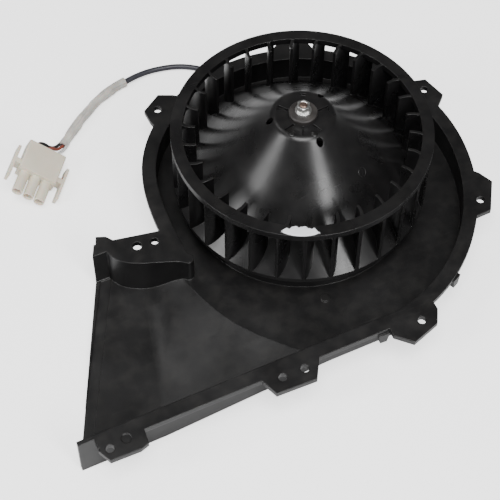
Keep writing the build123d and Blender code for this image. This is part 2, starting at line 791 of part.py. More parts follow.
bolt_seat = plate_bottom - bracket_wall
bolt_cross = cross_recess(bolt_seat, bolt_head_height, bolt_circle_radius, pole_count, 45)
nut_seat = stack_top + bracket_wall
with BuildPart() as bolts:
    with BuildSketch(Plane.XY.offset(bolt_seat)):
        with PolarLocations(bolt_circle_radius, pole_count, start_angle=45):
            Circle(bolt_head_radius)
    extrude(amount=-bolt_head_height)
    with BuildSketch(Plane.XY.offset(bolt_seat)):
        with PolarLocations(bolt_circle_radius, pole_count, start_angle=45):
            Circle(bolt_radius)
    extrude(amount=nut_seat + bolt_nut_height + bolt_end - bolt_seat)
    add(bolt_cross, mode=Mode.SUBTRACT)
save(bolts.part, "through_bolts")

with BuildPart() as bolt_nuts:
    with BuildSketch(Plane.XY.offset(nut_seat)):
        with PolarLocations(bolt_circle_radius, pole_count, start_angle=45):
            RegularPolygon(bolt_head_radius - 0.05, 6, major_radius=False)
            Circle(bolt_radius + seat_clearance, mode=Mode.SUBTRACT)
    extrude(amount=bolt_nut_height)
save(bolt_nuts.part, "bolt_nuts")

with BuildPart() as grommets:
    for bottom, height, radius in (
        (plate_bottom - grommet_flange, grommet_flange, grommet_radius),
        (plate_bottom, plate_thickness, grommet_neck_radius),
        (plate_top, grommet_flange, grommet_radius),
    ):
        with BuildSketch(Plane.XY.offset(bottom)):
            with PolarLocations(mount_circle_radius, mount_count, start_angle=mount_start_angle):
                Circle(radius)
                Circle(mount_screw_radius + seat_clearance, mode=Mode.SUBTRACT)
        extrude(amount=height)
save(grommets.part, "mount_grommets")

screw_seat = plate_bottom - grommet_flange
screw_cross = cross_recess(
    screw_seat, screw_head_height, mount_circle_radius, mount_count, mount_start_angle
)
with BuildPart() as screws:
    with BuildSketch(Plane.XY.offset(screw_seat)):
        with PolarLocations(mount_circle_radius, mount_count, start_angle=mount_start_angle):
            Circle(screw_head_radius)
    extrude(amount=-screw_head_height)
    with BuildSketch(Plane.XY.offset(screw_seat)):
        with PolarLocations(mount_circle_radius, mount_count, start_angle=mount_start_angle):
            Circle(mount_screw_radius)
    extrude(amount=platform_top + mount_boss_height - wall / 2 - 0.4 - screw_seat)
    add(screw_cross, mode=Mode.SUBTRACT)
save(screws.part, "mount_screws")

# ---------------------------------------------------------------- cable, leads and connector
with BuildPart() as gland:
    gland_y = cup_radius - 1.2
    with BuildSketch(Plane.XZ.offset(-gland_y)):
        with Locations((gland_x, gland_height)):
            Circle(gland_neck_radius)
            Circle(cable_radius, mode=Mode.SUBTRACT)
    extrude(amount=-(bracket_wall + 2.4))
    with BuildSketch(Plane.XZ.offset(-(cup_radius + bracket_wall + 0.05))):
        with Locations((gland_x, gland_height)):
            Circle(gland_radius)
            Circle(cable_radius, mode=Mode.SUBTRACT)
    extrude(amount=-gland_length)
save(gland.part, "cable_gland")


def tube(points, section_radius, name):
    """Round tube along straight runs joined by tangent arcs as large as the runs allow."""
    ways = [Vector(*point) for point in points]
    radii = []
    for before, at, after in zip(ways, ways[1:], ways[2:]):
        turn = radians((at - before).get_angle(after - at))
        radii.append(0.45 * min((at - before).length, (after - at).length) / tan(turn / 2))
    print(name, "radii", [round(radius, 1) for radius in radii])
    with BuildPart() as swept:
        with BuildLine() as path:
            FilletPolyline(*points, radius=radii)
        with BuildSketch(Plane(origin=path.line @ 0, z_dir=path.line % 0)):
            Circle(section_radius)
        sweep()
    length = sum(edge.length for edge in path.line.edges())
    fill = swept.part.volume / (pi * section_radius**2 * length)
    print(name, "length", round(length, 1), "volume over section times length", round(fill, 4))
    return swept.part


cable_level = cable_radius + 0.05
sleeve_level = sleeve_radius + 0.05
gland_end = cup_radius + bracket_wall + gland_length + 0.05
cable_points = [
    (gland_x, gland_end - 3.0, gland_height),
    (gland_x, gland_end + 7.5, gland_height),
    (gland_x + 1.4, gland_end + 20.5, cable_level + 0.1),
    (gland_x + 4.6, 76.0, cable_level),
    (gland_x + 3.6, 93.0, cable_level + 0.04),
    (gland_x - 4.0, 107.2, cable_level),
    (gland_x - 16.5, 115.9, cable_level + 0.2),
    (gland_x - 31.0, 118.9, cable_level + 0.65),
    (-43.5, 118.4, sleeve_level),
    (-53.0, 116.6, sleeve_level),
]
sleeve_end = (-100.5, 88.5, sleeve_level)
sleeve_points = [
    cable_points[-1],
    (-64.5, 113.6, sleeve_level),
    (-76.5, 107.5, sleeve_level),
    (-88.5, 98.8, sleeve_level),
    sleeve_end,
]
save(tube(cable_points, cable_radius, "supply_cable"), "supply_cable")
save(tube(sleeve_points, sleeve_radius, "cable_sleeve"), "cable_sleeve")

roll = radians(connector_roll)
reach_down = (connector_width / 2 + wing_gap + wing_wall) * sin(roll)
connector_level = reach_down + wing_height / 2 * cos(roll) + 0.05
connector_rear = Vector(-111.8, 83.2, connector_level)
along = Vector(cos(radians(connector_angle)), sin(radians(connector_angle)), 0)
across = Vector(-along.Y * cos(roll), along.X * cos(roll), -sin(roll))
rear_plane = Plane(origin=connector_rear, x_dir=across, z_dir=along)
plan_plane = Plane(origin=connector_rear, x_dir=along, z_dir=along.cross(across))
contact_radius = 1.25
pin_radius = 1.0
row_of_three = GridLocations(contact_pitch, 0, 3, 1)

sleeve_way = Vector(*sleeve_end) - Vector(*sleeve_points[-2])
sleeve_way = sleeve_way * (1 / sleeve_way.length)
sleeve_side = Vector(-sleeve_way.Y, sleeve_way.X, 0)
for name, place in (("lead_black", -1), ("lead_brown", 0), ("lead_white", 1)):
    start = Vector(*sleeve_end) + sleeve_side * (place * (2 * lead_radius + 0.2))
    stop = connector_rear + across * (place * contact_pitch)
    lead_run = (stop - start).length * 0.3
    lead_points = [start, start + sleeve_way * lead_run, stop - along * lead_run, stop]
    save(tube([tuple(point) for point in lead_points], lead_radius, name), name)

with BuildPart() as connector:
    with BuildSketch(rear_plane):
        RectangleRounded(connector_width, connector_height, 1.0)
    extrude(amount=connector_length)
    with BuildSketch(rear_plane.offset(connector_length)):
        with row_of_three:
            Circle(silo_radius)
    extrude(amount=silo_length)
    # latch wings on both sides
    half_width = connector_width / 2
    with BuildSketch(plan_plane.offset(-wing_height / 2)):
        for side_of in (1, -1):
            wing = [
                (wing_start, wing_gap + wing_wall),
                (wing_end, wing_gap + wing_wall),
                (wing_end, wing_gap),
                (wing_bridge[1], wing_gap),
                (wing_bridge[1], -0.2),
                (wing_bridge[0], -0.2),
                (wing_bridge[0], wing_gap),
                (wing_start, wing_gap),
            ]
            Polygon(*[(x, side_of * (half_width + y)) for x, y in wing], align=None)
    extrude(amount=wing_height)
    # bores for the contacts
    with BuildSketch(rear_plane):
        with row_of_three:
            Circle(contact_radius + seat_clearance)
    extrude(amount=connector_length, mode=Mode.SUBTRACT)
    with BuildSketch(rear_plane.offset(connector_length - 1.0)):
        with row_of_three:
            Circle(silo_radius - silo_wall)
    extrude(amount=silo_length + 1.0, mode=Mode.SUBTRACT)
save(connector.part, "connector_body")

with BuildPart() as contacts:
    with BuildSketch(rear_plane):
        with row_of_three:
            Circle(contact_radius)
    extrude(amount=connector_length - 2.0)
    with BuildSketch(rear_plane):
        with row_of_three:
            Circle(pin_radius)
    extrude(amount=connector_length + silo_length - 1.5)
save(contacts.part, "crimp_contacts")
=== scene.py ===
"""Looks of a boiler's combustion fan: moulded scroll, impeller, motor and supply lead.

Everything is in metres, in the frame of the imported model. The origin lies on the shaft axis, on the
plane that the fan stands on. +Z is up, and +X runs along the straight outlet wall, away from the outlet.
"""

from __future__ import annotations

import logging
import math
from dataclasses import dataclass, field
from enum import Enum

import bmesh
import bpy
from mathutils import Matrix, Vector

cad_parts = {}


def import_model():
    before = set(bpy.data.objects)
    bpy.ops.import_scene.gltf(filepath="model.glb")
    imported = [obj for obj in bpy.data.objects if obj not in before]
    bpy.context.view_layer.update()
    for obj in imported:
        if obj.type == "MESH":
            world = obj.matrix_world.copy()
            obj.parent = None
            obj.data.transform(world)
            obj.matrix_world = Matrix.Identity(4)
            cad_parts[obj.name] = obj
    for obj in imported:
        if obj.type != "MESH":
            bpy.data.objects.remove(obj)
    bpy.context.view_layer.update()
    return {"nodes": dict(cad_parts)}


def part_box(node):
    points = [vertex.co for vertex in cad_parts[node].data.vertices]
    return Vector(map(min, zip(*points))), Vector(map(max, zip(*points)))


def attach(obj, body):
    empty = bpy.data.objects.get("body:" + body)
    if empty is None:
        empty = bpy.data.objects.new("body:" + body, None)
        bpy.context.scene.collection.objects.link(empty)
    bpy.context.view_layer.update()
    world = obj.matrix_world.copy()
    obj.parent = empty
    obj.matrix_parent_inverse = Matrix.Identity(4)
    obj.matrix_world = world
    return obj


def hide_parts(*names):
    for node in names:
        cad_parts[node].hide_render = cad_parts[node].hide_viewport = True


log = logging.getLogger("combustion_fan")

MM = 0.001
Colour = tuple[float, float, float]
Point = tuple[float, float, float]
Node = bpy.types.Node
Socket = bpy.types.NodeSocket
Thing = bpy.types.Object
Material = bpy.types.Material


def polar(radius: float, angle: float, height: float = 0.0) -> Vector:
    """Give the point at a radius, an angle in degrees and a height about the shaft axis."""
    turn = math.radians(angle)
    return Vector((radius * math.cos(turn), radius * math.sin(turn), height))


# ---------------------------------------------------------------- shader trees


class ShaderTree:
    """Short ways to add and link nodes in a shader tree."""

    def __init__(self, tree: bpy.types.NodeTree) -> None:
        """Start with an empty tree.

        Args:
            tree: node tree of a material or a group.
        """
        tree.nodes.clear()
        self.tree = tree

    def node(self, kind: str, inputs: dict[str, object] | None = None, **settings: object) -> Node:
        """Add a node.

        Args:
            kind: class name of the node.
            inputs: value or output socket for each named input.
            settings: properties set on the node itself.

        Returns:
            The new node.
        """
        new = self.tree.nodes.new(kind)
        for name, value in settings.items():
            setattr(new, name, value)
        for name, value in (inputs or {}).items():
            self.feed(new.inputs[name], value)
        return new

    def feed(self, socket: Socket, value: object) -> None:
        """Link an output to an input, or set the input's value."""
        if isinstance(value, Socket):
            self.tree.links.new(value, socket)
        else:
            socket.default_value = value

    def maths(self, operation: str, first: object, second: object = 0.0, clamp: bool = False) -> Socket:
        """Combine two numbers.

        Args:
            operation: name of the Math node's operation.
            first: number or output socket.
            second: number or output socket.
            clamp: keep the result between 0 and 1.

        Returns:
            The result's socket.
        """
        new = self.node("ShaderNodeMath", operation=operation, use_clamp=clamp)
        self.feed(new.inputs[0], first)
        self.feed(new.inputs[1], second)
        return new.outputs[0]

    def spread(
        self, value: object, low: float, high: float, to_low: float = 0.0, to_high: float = 1.0
    ) -> Socket:
        """Map a number from one range to another, clamped."""
        new = self.node("ShaderNodeMapRange", clamp=True)
        for name, given in zip(
            ("Value", "From Min", "From Max", "To Min", "To Max"), (value, low, high, to_low, to_high)
        ):
            self.feed(new.inputs[name], given)
        return new.outputs["Result"]

    def blend(self, share: object, first: object, second: object) -> Socket:
        """Mix two colours by a share from 0 to 1."""
        new = self.node("ShaderNodeMix", data_type="RGBA")
        colours = [socket for socket in new.inputs if socket.type == "RGBA"]
        self.feed(new.inputs["Factor"], share)
        self.feed(colours[0], opaque(first))
        self.feed(colours[1], opaque(second))
        return next(socket for socket in new.outputs if socket.type == "RGBA")

    def noise(self, scale: object, detail: float = 2.0, vector: object = None) -> Socket:
        """Add a noise texture on Object coordinates.

        Args:
            scale: cells per metre.
            detail: octaves.
            vector: coordinates, if not the piece's own Object coordinates.

        Returns:
            The noise's value.
        """
        place = vector if vector is not None else self.node("ShaderNodeTexCoord").outputs["Object"]
        new = self.node("ShaderNodeTexNoise", {"Vector": place, "Scale": scale, "Detail": detail})
        return new.outputs["Fac"]


def opaque(colour: object) -> object:
    """Add an alpha of 1 to a colour of three numbers, and leave a socket as it is."""
    return (*colour, 1.0) if isinstance(colour, tuple) and len(colour) == 3 else colour


class Effect(Enum):
    """Shader node groups that several finishes share."""

    ROUNDED_EDGES = "rounded_edges"
    MOULD_GRAIN = "mould_grain"
    SETTLED_DUST = "settled_dust"
    HANDLING_MARKS = "handling_marks"


class EffectLibrary:
    """Builds each shared shader node group once."""

    def __init__(self) -> None:
        """Start with no groups."""
        self._groups: dict[Effect, bpy.types.NodeTree] = {}

    def get(self, effect: Effect) -> bpy.types.NodeTree:
        """Give the group of an effect, building it at its first use.

        Args:
            effect: which effect.

        Returns:
            Its node group.
        """
        if effect not in self._groups:
            maker = {
                Effect.ROUNDED_EDGES: self._rounded_edges,
                Effect.MOULD_GRAIN: self._mould_grain,
                Effect.SETTLED_DUST: self._settled_dust,
                Effect.HANDLING_MARKS: self._handling_marks,
            }[effect]
            self._groups[effect] = maker(effect.value)
        return self._groups[effect]

    @staticmethod
    def _open(name: str, inputs: dict[str, float], outputs: dict[str, str]) -> tuple[ShaderTree, dict, Node]:
        """Make an empty group.

        Args:
            name: the group's name.
            inputs: default value of each named input.
            outputs: socket type of each named output.

        Returns:
            The group's tree, its input sockets by name and its output node.
        """
        group = bpy.data.node_groups.new(name, "ShaderNodeTree")
        for title, value in inputs.items():
            socket = group.interface.new_socket(title, in_out="INPUT", socket_type="NodeSocketFloat")
            socket.default_value = value
        for title, kind in outputs.items():
            group.interface.new_socket(title, in_out="OUTPUT", socket_type=kind)
        tree = ShaderTree(group)
        start = tree.node("NodeGroupInput")
        end = tree.node("NodeGroupOutput")
        return tree, {title: start.outputs[title] for title in inputs}, end

    def _rounded_edges(self, name: str) -> bpy.types.NodeTree:
        """Make small roundings on sharp edges, and a mask of the worn ones."""
        tree, given, end = self._open(
            name,
            {"Radius": 0.0004, "Wear": 0.5},
            {"Normal": "NodeSocketVector", "Edge": "NodeSocketFloat"},
        )
        rounded = tree.node("ShaderNodeBevel", {"Radius": given["Radius"]}, samples=6).outputs["Normal"]
        flat = tree.node("ShaderNodeNewGeometry").outputs["Normal"]
        dot = tree.node("ShaderNodeVectorMath", operation="DOT_PRODUCT")
        tree.feed(dot.inputs[0], rounded)
        tree.feed(dot.inputs[1], flat)
        bend = tree.spread(dot.outputs["Value"], 0.999, 0.86)
        patchy = tree.spread(tree.noise(420.0, 4.0), 0.35, 0.62)
        tree.feed(end.inputs["Normal"], rounded)
        tree.feed(
            end.inputs["Edge"],
            tree.maths("MULTIPLY", tree.maths("MULTIPLY", bend, patchy), given["Wear"], True),
        )
        return tree.tree

    def _mould_grain(self, name: str) -> bpy.types.NodeTree:
        """Make the fine texture that a steel mould leaves, and the slow mottling of the gloss."""
        tree, given, end = self._open(
            name,
            {"Scale": 2600.0, "Mottle Scale": 45.0},
            {"Height": "NodeSocketFloat", "Mottle": "NodeSocketFloat"},
        )
        fine = tree.noise(given["Scale"], 3.0)
        waves = tree.noise(tree.maths("MULTIPLY", given["Scale"], 0.11), 1.0)
        height = tree.maths("ADD", tree.maths("MULTIPLY", fine, 0.55), tree.maths("MULTIPLY", waves, 0.45))
        tree.feed(end.inputs["Height"], height)
        tree.feed(end.inputs["Mottle"], tree.spread(tree.noise(given["Mottle Scale"], 4.0), 0.36, 0.66))
        return tree.tree

    def _settled_dust(self, name: str) -> bpy.types.NodeTree:
        """Make a thin dust that settles on surfaces that face up."""
        tree, given, end = self._open(name, {"Amount": 0.2, "Scale": 160.0}, {"Mask": "NodeSocketFloat"})
        facing = tree.node("ShaderNodeTexCoord").outputs["Normal"]
        up = tree.node("ShaderNodeSeparateXYZ", {"Vector": facing}).outputs["Z"]
        clouds = tree.spread(tree.noise(given["Scale"], 5.0), 0.42, 0.8)
        specks = tree.spread(tree.noise(3900.0, 0.0), 0.7, 0.78)
        cover = tree.maths("ADD", tree.maths("MULTIPLY", clouds, 0.55), tree.maths("MULTIPLY", specks, 0.45))
        lying = tree.maths("MULTIPLY", tree.spread(up, 0.35, 0.95), cover)
        tree.feed(end.inputs["Mask"], tree.maths("MULTIPLY", lying, given["Amount"], True))
        return tree.tree

    def _handling_marks(self, name: str) -> bpy.types.NodeTree:
        """Make fine hair scratches in two directions."""
        tree, given, end = self._open(name, {"Scale": 60.0, "Amount": 0.5}, {"Mask": "NodeSocketFloat"})
        place = tree.node("ShaderNodeTexCoord").outputs["Object"]
        lines = []
        for turn, stretch in ((0.5, 30.0), (2.1, 22.0)):
            mapped = tree.node(
                "ShaderNodeMapping",
                {"Vector": place, "Rotation": (0.2, 0.1, turn), "Scale": (1.0, stretch, 6.0)},
            )
            lines.append(tree.spread(tree.noise(given["Scale"], 2.0, mapped.outputs["Vector"]), 0.66, 0.7))
        both = tree.maths("MAXIMUM", lines[0], lines[1])
        gaps = tree.spread(tree.noise(38.0, 2.0), 0.5, 0.66)
        tree.feed(
            end.inputs["Mask"],
            tree.maths("MULTIPLY", tree.maths("MULTIPLY", both, gaps), given["Amount"], True),
        )
        return tree.tree


@dataclass(frozen=True)
class Finish:
    """A moulded, rubber or plated surface, with grain, rounded worn edges and dust."""

    name: str
    colour: Colour
    patch_colour: Colour
    roughness: float = 0.4
    roughness_spread: float = 0.12
    metallic: float = 0.0
    grain_scale: float = 2600.0
    grain_depth: float = 0.00002
    mottle_scale: float = 45.0
    edge_radius: float = 0.0004
    edge_colour: Colour = (0.1, 0.1, 0.1)
    edge_wear: float = 0.3
    dust: float = 0.12
    dust_colour: Colour = (0.3, 0.28, 0.25)
    scratches: float = 0.0
    specular: float = 0.5
    coat: float = 0.0
    coat_roughness: float = 0.1
    subsurface: float = 0.0
    glow_depth: float = 0.001

    def build(self, effects: EffectLibrary) -> Material:
        """Make the material.

        Args:
            effects: shared node groups.

        Returns:
            The material, with its Principled BSDF fed by the groups.
        """
        material = bpy.data.materials.new(self.name)
        material.use_nodes = True
        material.diffuse_color = (*self.colour, 1.0)
        tree = ShaderTree(material.node_tree)
        grain = self._effect(
            tree,
            effects,
            Effect.MOULD_GRAIN,
            {"Scale": self.grain_scale, "Mottle Scale": self.mottle_scale},
        )
        edges = self._effect(
            tree, effects, Effect.ROUNDED_EDGES, {"Radius": self.edge_radius, "Wear": self.edge_wear}
        )
        dust = self._effect(tree, effects, Effect.SETTLED_DUST, {"Amount": self.dust})
        colour, height = self.pattern(tree, grain)
        colour = tree.blend(edges.outputs["Edge"], colour, self.edge_colour)
        rough = tree.spread(
            grain.outputs["Mottle"],
            0.0,
            1.0,
            self.roughness - self.roughness_spread / 2,
            self.roughness + self.roughness_spread / 2,
        )
        if self.scratches:
            marks = self._effect(tree, effects, Effect.HANDLING_MARKS, {"Amount": self.scratches})
            rough = tree.maths("ADD", rough, tree.maths("MULTIPLY", marks.outputs["Mask"], 0.25), True)
            colour = tree.blend(tree.maths("MULTIPLY", marks.outputs["Mask"], 0.35), colour, self.edge_colour)
        rough = tree.maths("ADD", rough, tree.maths("MULTIPLY", dust.outputs["Mask"], 0.3), True)
        colour = tree.blend(dust.outputs["Mask"], colour, self.dust_colour)
        bump = tree.node(
            "ShaderNodeBump",
            {
                "Height": height,
                "Normal": edges.outputs["Normal"],
                "Distance": self.grain_depth,
                "Strength": 1.0,
            },
        )
        surface = tree.node(
            "ShaderNodeBsdfPrincipled",
            {
                "Base Color": colour,
                "Roughness": rough,
                "Metallic": self.metallic,
                "Normal": bump.outputs["Normal"],
                "Specular IOR Level": self.specular,
                "Coat Weight": self.coat,
                "Coat Roughness": self.coat_roughness,
                "Subsurface Weight": self.subsurface,
                "Subsurface Scale": self.glow_depth,
            },
        )
        tree.node("ShaderNodeOutputMaterial", {"Surface": surface.outputs["BSDF"]})
        return material

    @staticmethod
    def _effect(tree: ShaderTree, effects: EffectLibrary, effect: Effect, inputs: dict[str, float]) -> Node:
        """Place a shared group in a material with its own values."""
        new = tree.node("ShaderNodeGroup", node_tree=effects.get(effect))
        for name, value in inputs.items():
            new.inputs[name].default_value = value
        return new

    def pattern(self, tree: ShaderTree, grain: Node) -> tuple[Socket, Socket]:
        """Give the colour and the height before wear and dust.

        Args:
            tree: the material's tree.
            grain: the placed grain group.

        Returns:
            Colour socket and height socket.
        """
        return tree.blend(grain.outputs["Mottle"], self.colour, self.patch_colour), grain.outputs["Height"]


@dataclass(frozen=True)
class TurnedFinish(Finish):
    """Metal with the rings that turning or pressing leaves about the shaft axis."""

    ring_pitch: float = 0.0003
    centre: Point = (0.0, 0.0, 0.0)

    def pattern(self, tree: ShaderTree, grain: Node) -> tuple[Socket, Socket]:
        """Add rings about the axis to the grain."""
        place = tree.node("ShaderNodeTexCoord").outputs["Object"]
        moved = tree.node("ShaderNodeMapping", {"Vector": place, "Location": tuple(-c for c in self.centre)})
        wave = tree.node(
            "ShaderNodeTexWave",
            {
                "Vector": moved.outputs["Vector"],
                "Scale": 0.314 / self.ring_pitch,
                "Distortion": 0.6,
                "Detail": 1.0,
            },
            wave_type="RINGS",
            rings_direction="Z",
        )
        shade = tree.maths("MULTIPLY", grain.outputs["Mottle"], wave.outputs["Fac"])
        height = tree.maths("ADD", grain.outputs["Height"], tree.maths("MULTIPLY", wave.outputs["Fac"], 0.6))
        return tree.blend(shade, self.colour, self.patch_colour), height


@dataclass(frozen=True)
class LayeredFinish(Finish):
    """Steel sheets stacked along the axis, or wire wound in layers."""

    layer: float = 0.0005
    gap_colour: Colour = (0.02, 0.02, 0.02)

    def pattern(self, tree: ShaderTree, grain: Node) -> tuple[Socket, Socket]:
        """Add dark gaps between the layers to the grain."""
        place = tree.node("ShaderNodeTexCoord").outputs["Object"]
        wave = tree.node(
            "ShaderNodeTexWave",
            {"Vector": place, "Scale": 0.314 / self.layer, "Distortion": 0.2},
            wave_type="BANDS",
            bands_direction="Z",
        )
        gaps = tree.spread(wave.outputs["Fac"], 0.25, 0.0)
        base = tree.blend(grain.outputs["Mottle"], self.colour, self.patch_colour)
        height = tree.maths("ADD", grain.outputs["Height"], tree.maths("MULTIPLY", wave.outputs["Fac"], 2.0))
        return tree.blend(gaps, base, self.gap_colour), height


@dataclass(frozen=True)
class SleeveFinish(Finish):
    """Thin milky sleeve, with the dark leads showing through where it is pressed on them."""

    lead_colour: Colour = (0.12, 0.10, 0.11)

    def pattern(self, tree: ShaderTree, grain: Node) -> tuple[Socket, Socket]:
        """Let streaks of the leads show through the milky skin."""
        place = tree.node("ShaderNodeUVMap").outputs["UV"]
        stretched = tree.node("ShaderNodeMapping", {"Vector": place, "Scale": (2.0, 9.0, 1.0)})
        streaks = tree.noise(1.6, 3.0, stretched.outputs["Vector"])
        shows = tree.spread(streaks, 0.56, 0.74, 0.0, 0.75)
        milky = tree.blend(grain.outputs["Mottle"], self.colour, self.patch_colour)
        return tree.blend(shows, milky, self.lead_colour), grain.outputs["Height"]


BLACK_MOULDING = Finish(
    "black_glass_filled_nylon",
    colour=(0.0062, 0.0060, 0.0062),
    patch_colour=(0.0085, 0.0082, 0.0084),
    roughness=0.36,
    roughness_spread=0.12,
    grain_scale=2300.0,
    grain_depth=0.000012,
    edge_radius=0.0007,
    edge_colour=(0.045, 0.043, 0.042),
    edge_wear=0.35,
    dust=0.05,
    scratches=0.35,
    specular=0.42,
)
IMPELLER_MOULDING = Finish(
    "black_impeller_nylon",
    colour=(0.0052, 0.0050, 0.0052),
    patch_colour=(0.0078, 0.0075, 0.0078),
    roughness=0.30,
    roughness_spread=0.10,
    grain_scale=2000.0,
    grain_depth=0.000010,
    edge_radius=0.0004,
    edge_colour=(0.05, 0.048, 0.045),
    edge_wear=0.3,
    dust=0.04,
    scratches=0.2,
    specular=0.45,
)
CABLE_JACKET = Finish(
    "slate_cable_jacket",
    colour=(0.022, 0.022, 0.030),
    patch_colour=(0.030, 0.030, 0.040),
    roughness=0.42,
    grain_scale=1500.0,
    grain_depth=0.00003,
    edge_wear=0.0,
    dust=0.1,
)
LEAD_BLACK = Finish("black_lead", (0.012, 0.012, 0.013), (0.02, 0.02, 0.022), roughness=0.35, edge_wear=0.0)
LEAD_BROWN = Finish("brown_lead", (0.18, 0.035, 0.022), (0.22, 0.05, 0.03), roughness=0.35, edge_wear=0.0)
LEAD_WHITE = Finish("white_lead", (0.68, 0.67, 0.66), (0.6, 0.59, 0.58), roughness=0.35, edge_wear=0.0)
SLEEVE = SleeveFinish(
    "milky_sleeve",
    colour=(0.60, 0.57, 0.52),
    patch_colour=(0.42, 0.40, 0.37),
    roughness=0.34,
    roughness_spread=0.2,
    grain_scale=900.0,
    grain_depth=0.00012,
    mottle_scale=160.0,
    edge_wear=0.0,
    dust=0.05,
    coat=0.3,
    coat_roughness=0.15,
    subsurface=0.15,
)
IVORY_NYLON = Finish(
    "ivory_connector_nylon",
    colour=(0.74, 0.68, 0.56),
    patch_colour=(0.66, 0.60, 0.48),
    roughness=0.38,
    grain_scale=1800.0,
    grain_depth=0.00002,
    edge_radius=0.0005,
    edge_colour=(0.82, 0.77, 0.66),
    edge_wear=0.3,
    dust=0.08,
    dust_colour=(0.35, 0.31, 0.25),
    subsurface=0.25,
    glow_depth=0.002,
)
ZINC = TurnedFinish(
    "bright_zinc",
    colour=(0.62, 0.62, 0.60),
    patch_colour=(0.78, 0.78, 0.77),
    roughness=0.28,
    metallic=1.0,
    grain_scale=3000.0,
    grain_depth=0.000015,
    edge_radius=0.0003,
    edge_colour=(0.9, 0.9, 0.9),
    edge_wear=0.4,
    dust=0.05,
)
OILED_STEEL = TurnedFinish(
    "oiled_shaft_steel",
    colour=(0.22, 0.14, 0.11),
    patch_colour=(0.32, 0.24, 0.20),
    roughness=0.42,
    metallic=1.0,
    edge_radius=0.0002,
    edge_colour=(0.6, 0.56, 0.5),
    edge_wear=0.5,
)
COLLAR = Finish(
    "dark_collar",
    colour=(0.012, 0.011, 0.011),
    patch_colour=(0.022, 0.019, 0.018),
    roughness=0.45,
    edge_radius=0.0003,
    dust=0.2,
)
RUBBER = Finish("black_rubber", (0.012, 0.012, 0.012), (0.018, 0.018, 0.018), roughness=0.62, dust=0.25)
PRESSED_ZINC = Finish(
    "pressed_zinc_sheet",
    colour=(0.50, 0.50, 0.48),
    patch_colour=(0.66, 0.66, 0.64),
    roughness=0.34,
    roughness_spread=0.2,
    metallic=1.0,
    grain_scale=1200.0,
    grain_depth=0.00002,
    mottle_scale=110.0,
    edge_radius=0.0003,
    edge_colour=(0.8, 0.8, 0.8),
    dust=0.08,
    scratches=0.5,
)
LAMINATIONS = LayeredFinish(
    "stacked_laminations",
    colour=(0.20, 0.20, 0.21),
    patch_colour=(0.28, 0.27, 0.26),
    roughness=0.42,
    metallic=1.0,
    grain_depth=0.00004,
)
COPPER = LayeredFinish(
    "enamelled_copper_wire",
    colour=(0.42, 0.13, 0.05),
    patch_colour=(0.5, 0.18, 0.07),
    roughness=0.3,
    metallic=0.8,
    grain_depth=0.00012,
    layer=0.0004,
    coat=0.6,
)
ALUMINIUM = Finish("cast_aluminium", (0.62, 0.62, 0.63), (0.5, 0.5, 0.51), roughness=0.45, metallic=1.0)
BRASS = TurnedFinish("turned_brass", (0.62, 0.42, 0.16), (0.72, 0.52, 0.22), roughness=0.28, metallic=1.0)
BRONZE = TurnedFinish("sintered_bronze", (0.35, 0.21, 0.10), (0.44, 0.28, 0.14), roughness=0.5, metallic=1.0)
TINNED = TurnedFinish("tinned_brass", (0.66, 0.62, 0.54), (0.76, 0.73, 0.66), roughness=0.25, metallic=1.0)
SPRING = Finish("spring_steel", (0.16, 0.16, 0.18), (0.24, 0.24, 0.26), roughness=0.35, metallic=1.0)
BOBBIN = Finish("white_bobbin_nylon", (0.7, 0.7, 0.66), (0.62, 0.62, 0.58), roughness=0.45, subsurface=0.1)
WASHER = Finish("amber_washer_plastic", (0.30, 0.16, 0.05), (0.38, 0.2, 0.07), roughness=0.4)
PAINT = Finish(
    "white_balance_paint",
    colour=(0.86, 0.87, 0.90),
    patch_colour=(0.78, 0.79, 0.83),
    roughness=0.42,
    grain_scale=700.0,
    grain_depth=0.00006,
    mottle_scale=120.0,
    edge_radius=0.0001,
    edge_wear=0.0,
    dust=0.0,
)

NODE_FINISHES: dict[str, Finish] = {
    "scroll_housing": BLACK_MOULDING,
    "impeller": IMPELLER_MOULDING,
    "hub_insert": BRASS,
    "hub_collar": COLLAR,
    "flange_nut": ZINC,
    "motor_shaft": OILED_STEEL,
    "impeller_circlip": SPRING,
    "rotor_core": LAMINATIONS,
    "rotor_cage": ALUMINIUM,
    "thrust_washers": WASHER,
    "stator_stack": LAMINATIONS,
    "coil_bobbins": BOBBIN,
    "stator_coils": COPPER,
    "front_bracket": PRESSED_ZINC,
    "rear_bracket": PRESSED_ZINC,
    "lower_bearing": BRONZE,
    "upper_bearing": BRONZE,
    "lower_bearing_clip": SPRING,
    "upper_bearing_clip": SPRING,
    "motor_plate": PRESSED_ZINC,
    "stack_spacers": ZINC,
    "through_bolts": ZINC,
    "bolt_nuts": ZINC,
    "mount_grommets": RUBBER,
    "mount_screws": ZINC,
    "cable_gland": RUBBER,
    "supply_cable": CABLE_JACKET,
    "cable_sleeve": SLEEVE,
    "lead_black": LEAD_BLACK,
    "lead_brown": LEAD_BROWN,
    "lead_white": LEAD_WHITE,
    "connector_body": IVORY_NYLON,
    "crimp_contacts": TINNED,
}


class PaintShop:
    """Builds each finish once and puts it on pieces."""

    def __init__(self) -> None:
        """Start with no materials."""
        self._effects = EffectLibrary()
        self._made: dict[str, Material] = {}

    def material(self, finish: Finish) -> Material:
        """Give the material of a finish, building it at its first use."""
        if finish.name not in self._made:
            self._made[finish.name] = finish.build(self._effects)
        return self._made[finish.name]

    def dress(self, piece: Thing, finish: Finish) -> None:
        """Put one finish on a whole piece."""
        piece.data.materials.clear()
        piece.data.materials.append(self.material(finish))

    def dress_cad(self, nodes: dict[str, Thing]) -> None:
        """Put the finish of each CAD node on its material slots.

        Args:
            nodes: the CAD nodes by name.
        """
        for name, node in nodes.items():
            for slot in node.material_slots:
                slot.material = self.material(NODE_FINISHES[name])
            log.info("node %s wears %s", name, NODE_FINISHES[name].name)


